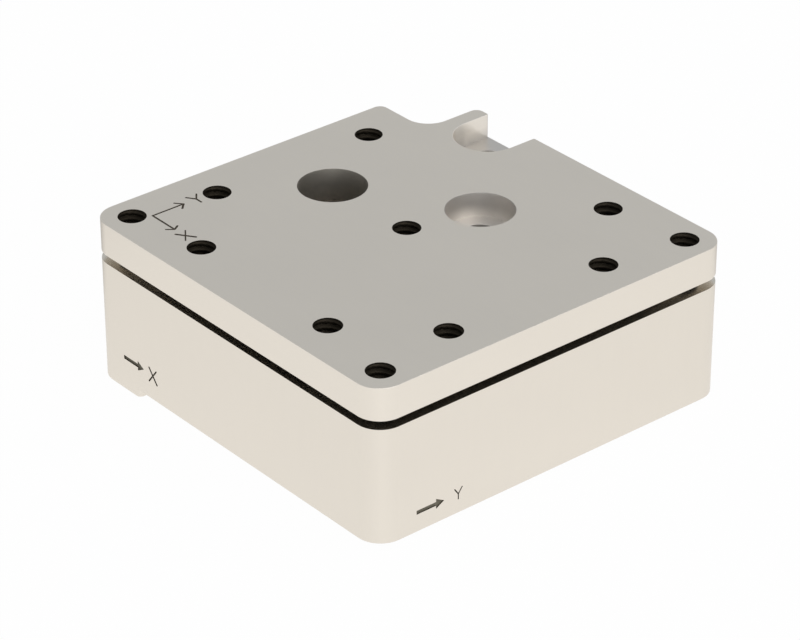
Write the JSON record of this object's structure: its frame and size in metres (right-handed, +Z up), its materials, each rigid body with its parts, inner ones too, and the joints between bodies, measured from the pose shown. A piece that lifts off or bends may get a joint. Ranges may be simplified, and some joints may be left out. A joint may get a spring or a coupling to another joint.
{
  "type": "piezo scanner stage",
  "caption": "Small square two-axis piezo scanning stage: a drilled moving top plate over a base with hidden flexure leaves, levers and piezo stacks.",
  "frame": {"origin": "middle of the underside, on the surface that the stage stands on", "axes": "+Z up, out of the moving top plate; +X and +Y are the two scan directions, as the arrows on the stage point; the rear slot is at +Y and the cut-away corner at -X +Y"},
  "size_m": [0.025, 0.025, 0.01],
  "materials": {
    "body_metal": "satin, warm grey conversion coat",
    "plate_metal": "satin, fine ground top face",
    "flexure_steel": "wire-cut, fine matt",
    "screw_steel": "dark machined",
    "ball_steel": "polished",
    "piezo_ceramic": "coated fired ceramic",
    "cap_ceramic": "ground fired ceramic",
    "board_laminate": "solder mask",
    "terminal_brass": "bright drawn",
    "grommet_rubber": "matt"
  },
  "bodies": {
    "base": {"base_frame": "body_metal", "bottom_cover": "body_metal", "cover_screw_1": "screw_steel", "cover_screw_2": "screw_steel", "cover_screw_3": "screw_steel", "cover_screw_4": "screw_steel", "x_leaf_1": "flexure_steel", "x_leaf_2": "flexure_steel", "x_leaf_3": "flexure_steel", "x_leaf_4": "flexure_steel", "x_piezo_stack": "piezo_ceramic", "x_rear_cap": "cap_ceramic", "x_front_cap": "cap_ceramic", "x_contact_ball": "ball_steel", "x_preload_screw": "screw_steel", "terminal_board": "board_laminate", "terminal_pin_1": "terminal_brass", "terminal_pin_2": "terminal_brass", "terminal_pin_3": "terminal_brass", "terminal_pin_4": "terminal_brass", "lead_grommet": "grommet_rubber"},
    "x_stage": {"x_carriage": "body_metal", "y_leaf_1": "flexure_steel", "y_leaf_2": "flexure_steel", "y_leaf_3": "flexure_steel", "y_leaf_4": "flexure_steel", "y_piezo_stack": "piezo_ceramic", "y_rear_cap": "cap_ceramic", "y_front_cap": "cap_ceramic", "y_contact_ball": "ball_steel", "y_preload_screw": "screw_steel"},
    "y_stage": {"y_platform": "body_metal", "top_plate": "plate_metal", "plate_screw_1": "screw_steel", "plate_screw_2": "screw_steel", "plate_screw_3": "screw_steel", "plate_screw_4": "screw_steel", "plate_pin_1": "screw_steel", "plate_pin_2": "screw_steel"},
    "x_lever_arm": {"x_lever": "flexure_steel"},
    "y_lever_arm": {"y_lever": "flexure_steel"}
  },
  "joints": [
    {"name": "x_scan", "type": "slide", "parent": "base", "child": "x_stage", "axis": [1, 0, 0], "range_m": [0, 0.00005], "stiffness_N_per_m": 200},
    {"name": "y_scan", "type": "slide", "parent": "x_stage", "child": "y_stage", "axis": [0, 1, 0], "range_m": [0, 0.00005], "stiffness_N_per_m": 200},
    {"name": "x_lever_hinge", "type": "hinge", "parent": "base", "child": "x_lever_arm", "pos_m": [0.00666, -0.009, 0.00285], "axis": [0, 0, -1], "range_deg": [0, 0.32]},
    {"name": "y_lever_hinge", "type": "hinge", "parent": "x_stage", "child": "y_lever_arm", "pos_m": [-0.008, 0.00406, 0.00285], "axis": [0, 0, 1], "range_deg": [0, 0.32]}
  ],
  "couplings": [
    {"joint": "x_lever_hinge", "follows": "x_scan", "rad_per_m": 89.286},
    {"joint": "y_lever_hinge", "follows": "y_scan", "rad_per_m": 89.286}
  ]
}
